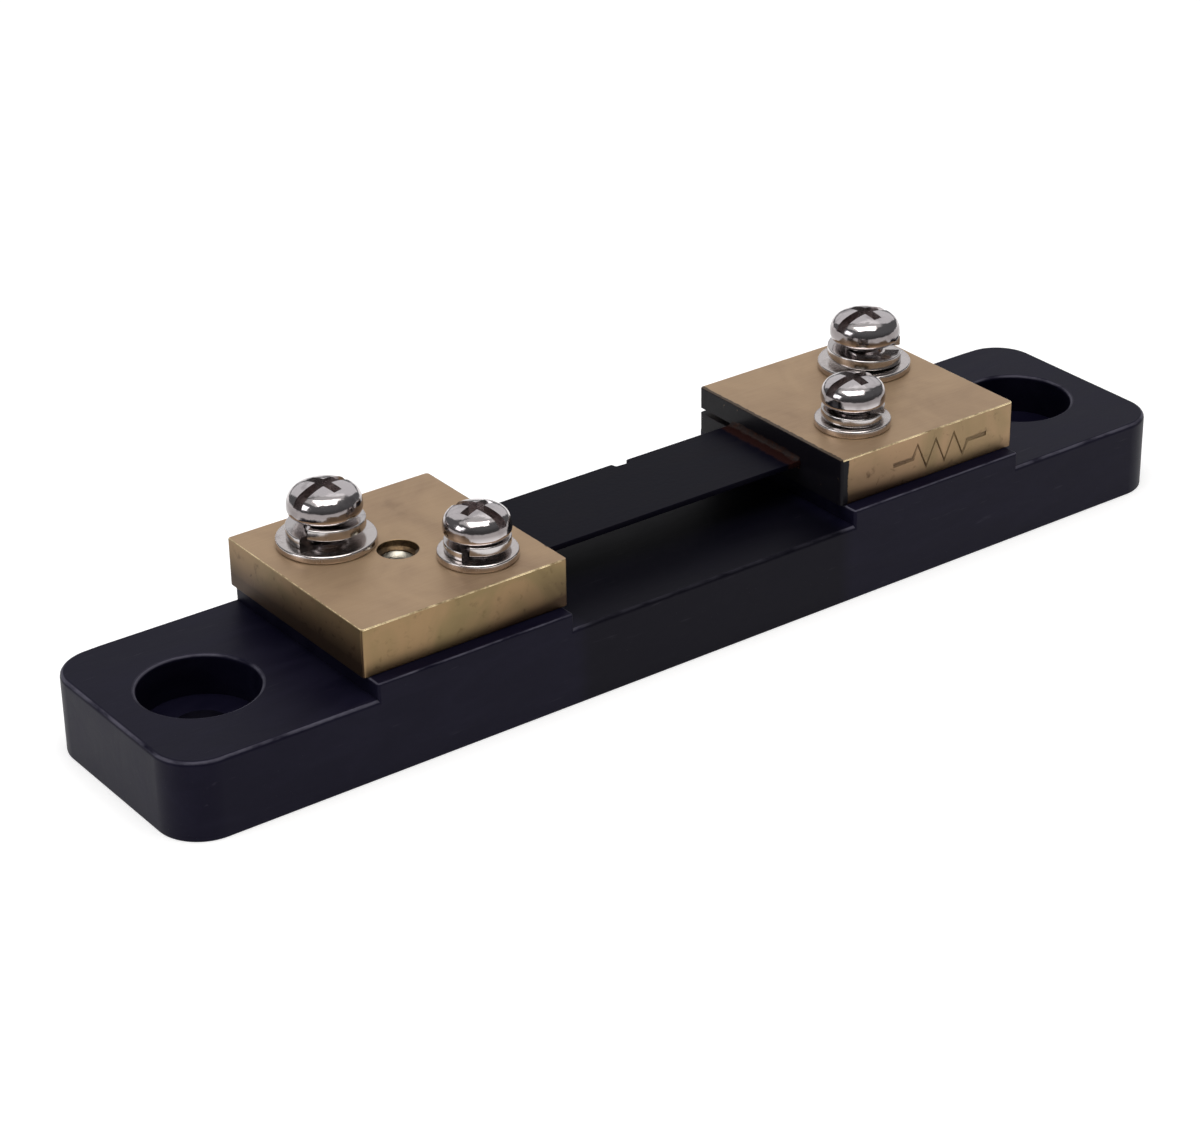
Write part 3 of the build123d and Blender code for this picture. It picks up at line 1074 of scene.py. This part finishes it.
def makeScrew(name, size, centre, bearing, anchor, drive, material, up=1):
    core = coreOf(size)
    crest = size["thread"] / 2 - turning["crestGap"]
    tip = bearing - up * size["length"]
    low = min(bearing, tip) + (0.35 if up > 0 else 0.7)
    first = math.ceil((low - anchor) / size["pitch"])
    room = size["length"] - 1.25
    sizes = {
        "X": centre.x,
        "Y": centre.y,
        "Bearing": bearing,
        "Head Height": size["headHeight"],
        "Slot Width": size["slotWidth"],
        "Slot Depth": size["slotDepth"],
        "Cross Length": size["cross"],
        "Cross Depth": size["crossDepth"],
        "Drive": drive,
        "Upside": float(up),
        "Crown": size["crown"],
        "Head Radius": size["head"] / 2,
        "Thread Start": anchor + first * size["pitch"],
        "Thread Radius": core - play["seat"],
        "Thread Depth": crest - core + play["seat"],
        "Pitch": size["pitch"],
        "Turns": room / size["pitch"],
    }
    outline = screwOutline(size, name)
    return smooth(grow(name + "_turned", trees["screw"], sizes, material, outline), 30)


def makeRing(name, node, size, material):
    low, high = (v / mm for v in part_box(node))
    sizes = {
        "X": (low.x + high.x) / 2,
        "Y": (low.y + high.y) / 2,
        "Bottom": low.z,
        "Inner": size["thread"] / 2 + play["flat"],
        "Outer": (high.x - low.x) / 2,
        "Thickness": high.z - low.z,
        "Edge": size["flatEdge"],
    }
    return smooth(grow(name, trees["ring"], sizes, material), 40)


def makeSpring(name, node, size, split):
    low, high = (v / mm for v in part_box(node))
    centre = middleOf(node.replace("lock", "flat"))
    sizes = {
        "X": centre.x,
        "Y": centre.y,
        "Bottom": low.z,
        "Inner": size["thread"] / 2 + play["lock"],
        "Outer": (high.x - low.x) / 2,
        "Thickness": size["lock"],
        "Rise": high.z - low.z - size["lock"],
        "Edge": size["lockEdge"],
        "Split": split,
    }
    return smooth(grow(name, trees["spring"], sizes, finish["spring"]), 40)


def makeTapped(name, centre, radius, pitch, bottom, top):  # half a pitch off its screw's thread
    start = top + (math.ceil((bottom + 0.45 - top) / pitch - 0.5) + 0.5) * pitch
    sizes = {
        "X": centre.x,
        "Y": centre.y,
        "Thread Start": start,
        "Thread Radius": radius + play["root"],
        "Thread Depth": play["tapping"] + play["root"],
        "Pitch": pitch,
        "Turns": (top - 0.4 - start) / pitch,
    }
    return smooth(grow(name, trees["thread"], sizes, finish["tapped"]), 30)


def makeTerminal(kind, size, side, centre, anchor):  # a screw and the two washers on its shank
    split, drive = leftAt[f"{kind}_{side}"]
    washers, screwBody = f"{kind}_washers_{side}", f"{kind}_screw_{side}"
    flat, lock = f"{kind}_flat_washer_{side}", f"{kind}_lock_washer_{side}"
    ring = makeRing(f"{kind}_flat_ring_{side}", flat, size, finish["ring"])
    place(ring, washers, "nickel_steel", flat)
    spring = makeSpring(f"{kind}_spring_ring_{side}", lock, size, split)
    place(spring, washers, "spring_steel", lock)
    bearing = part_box(screwBody)[0].z / mm + size["length"]
    screw = makeScrew(screwBody, size, centre, bearing, anchor, drive, finish["nickel"])
    place(screw, screwBody, "nickel_steel", screwBody)


def makeFixing(side, centre, anchor):  # a screw that comes up from under the base, and its washer
    ringNode, screwNode = "fixing_washer_" + side, "fixing_screw_" + side
    ring = makeRing("fixing_ring_" + side, ringNode, fixing, finish["zinc"])
    place(ring, "root", "zinc_steel", ringNode)
    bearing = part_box(ringNode)[0].z / mm
    drive = leftAt["fixing_" + side][1]
    screw = makeScrew(screwNode, fixing, centre, bearing, anchor, drive, finish["zinc"], -1)
    place(screw, "root", "zinc_steel", screwNode)


for side, sign in sides.items():
    holes, low, high = makeBlock(side, sign)
    for kind, size in {"line": line, "sense": sense, "fixing": fixing}.items():
        radius, centre = holes[kind]
        tapping = makeTapped(f"{kind}_tapping_{side}", centre, radius, size["pitch"], low.z, high.z)
        place(tapping, "root", "brass_bar")
    for kind, size in {"line": line, "sense": sense}.items():
        makeTerminal(kind, size, side, holes[kind][1], high.z)
    makeFixing(side, holes["fixing"][1], high.z)
    print("block, threads, screws and washers made:", side)


stripShape = {"notchAt": 2.3, "notchWidth": 1.6, "notchDepth": 0.7, "edge": 0.09}
brazeShape = {"leg": 0.6, "lump": 0.5, "sunk": 0.03, "steps": 90, "arc": 8}


def makeStrip():
    low, high = (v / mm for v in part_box("resistor_strip"))
    shape = stripShape
    left, right = (shape["notchAt"] + end * shape["notchWidth"] / 2 for end in (-1, 1))
    deep = high.y - shape["notchDepth"]
    notch = [(right + 0.1, high.y), (right, high.y - 0.15), (right, deep)]
    notch += [(left, deep + 0.1), (left - 0.15, high.y)]
    outline = [(low.x, low.y), (high.x, low.y), (high.x, high.y), *notch, (low.x, high.y)]
    piece = prism(outline, low.z, high.z, "resistance_strip")
    piece.data.materials.append(finish["strip"])
    softenEdges(piece, lambda middle, edge: shape["edge"])
    place(smooth(piece, weight=92), "root", "lacquered_manganin", "resistor_strip")


def makeBraze(side, sign):  # a lumpy hollow fillet above and below the strip
    low, high = (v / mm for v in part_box("resistor_strip"))
    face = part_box("terminal_block_" + side)[0 if sign > 0 else 1].x / mm
    work = bmesh.new()
    shape = brazeShape
    steps, bends, sunk = shape["steps"], shape["arc"], shape["sunk"]
    for level, up in ((high.z, 1), (low.z, -1)):
        rings = []
        for step in range(steps + 1):
            y = low.y + 0.05 + (high.y - low.y - 0.1) * step / steps
            drift = wander.noise(Vector((y * 0.9, sign * 3.1, up * 1.7)))
            fine = wander.noise(Vector((y * 3.3, sign * 5.3, up * 2.9)))
            leg = shape["leg"] * (0.78 + shape["lump"] * drift + 0.18 * fine)
            rise = shape["leg"] * (0.80 - shape["lump"] * 0.7 * drift + 0.15 * fine)
            foot = level - up * sunk
            ring = [(face + sign * sunk, foot), (face - sign * leg, foot)]
            for bend in range(bends + 1):
                t = math.radians(90 * bend / bends)
                reach, height = leg * (1 - math.sin(t)), rise * (1 - math.cos(t))
                ring.append((face - sign * reach, level + up * height))
            ring.append((face + sign * sunk, level + up * rise))
            rings.append([work.verts.new((x * mm, y * mm, z * mm)) for x, z in ring])
        for a, b in zip(rings, rings[1:]):
            for i in range(len(a)):
                j = (i + 1) % len(a)
                work.faces.new((a[i], a[j], b[j], b[i]))
        work.faces.new(rings[0])
        work.faces.new(rings[-1])
    piece = newObject("braze_fillet_" + side, meshFrom(work, "braze"), [finish["braze"]])
    place(smooth(piece, 50), "root", "braze_alloy", "braze_" + side)


makeStrip()
for side, sign in sides.items():
    makeBraze(side, sign)
print("strip and braze made")


studio = {
    "floor": (0.62, 0.62, 0.62),
    "floorPale": (0.6386, 0.6386, 0.6386),
    "floorGlow": 0.55,
    "world": (0.95, 0.96, 1.0),
    "worldStrength": 0.12,
}


def makeFloor():
    work = bmesh.new()
    bmesh.ops.create_grid(work, x_segments=1, y_segments=1, size=3.0)
    floor = newObject("floor", meshFrom(work, "floor"))
    fixed = {"Specular IOR Level": 0.1, "Emission Strength": studio["floorGlow"]}
    material, pen, shader = blankMaterial("paleFloor", {**fixed, "Emission Color": (1, 1, 1, 1)})
    mist = noise(pen, patternAt(pen, 0.2), 2.0)
    feed(blendColour(pen, mist, studio["floor"], studio["floorPale"]), shader, "Base Color")
    feed(mist * 0.05 + 0.7, shader, "Roughness")
    floor.data.materials.append(material)


softboxes = {  # place, aim, width, height, power, colour
    "ceiling": ((0.0, 0.05, 0.85), (0, 0, 0), 1.20, 0.70, 1.2, (1.0, 0.99, 0.98)),
    "key": ((-0.05, -0.11, 0.60), (0, 0, 0), 0.52, 0.38, 2.5, (1.0, 0.985, 0.965)),
    "back": ((0.36, 0.58, 0.50), (0, 0, 0), 1.50, 0.85, 2.6, (0.98, 0.98, 1.0)),
    "left": ((-0.62, 0.12, 0.30), (0, 0, 0.01), 0.30, 0.30, 0.9, (0.96, 0.97, 1.0)),
}


def makeLights():
    for name, (where, aim, width, height, power, colour) in softboxes.items():
        light = bpy.data.lights.new(name, "AREA")
        light.shape = "RECTANGLE"
        light.size, light.size_y = width, height
        light.energy = power
        light.color = colour
        box = bpy.data.objects.new(name, light)
        bpy.context.scene.collection.objects.link(box)
        box.location = where
        box.rotation_euler = (Vector(aim) - Vector(where)).to_track_quat("-Z", "Y").to_euler()
    world = bpy.data.worlds.new("studio")
    bpy.context.scene.world = world
    world.use_nodes = True
    backdrop = world.node_tree.nodes["Background"]
    backdrop.inputs["Color"].default_value = (*studio["world"], 1)
    backdrop.inputs["Strength"].default_value = studio["worldStrength"]


camera = {
    "place": (-0.1752, -0.2326, 0.1563),
    "aim": (-0.00347, 0.00214, 0.00423),
    "roll": -0.876,
    "lens": 98.71,
    "sensor": 36.0,
}


def makeCamera():
    lens = bpy.data.cameras.new("camera")
    lens.lens = camera["lens"]
    lens.sensor_width = camera["sensor"]
    lens.sensor_fit = "HORIZONTAL"
    lens.clip_start = 0.01
    lens.clip_end = 20
    eye = bpy.data.objects.new("camera", lens)
    bpy.context.scene.collection.objects.link(eye)
    where = Vector(camera["place"])
    look = (Vector(camera["aim"]) - where).to_track_quat("-Z", "Y").to_matrix().to_4x4()
    tilt = Matrix.Rotation(math.radians(camera["roll"]), 4, "Z")
    eye.matrix_world = Matrix.Translation(where) @ look @ tilt
    bpy.context.scene.camera = eye


makeFloor()
makeLights()
makeCamera()
bpy.context.scene.view_settings.view_transform = "Standard"
print("floor, light and camera made")
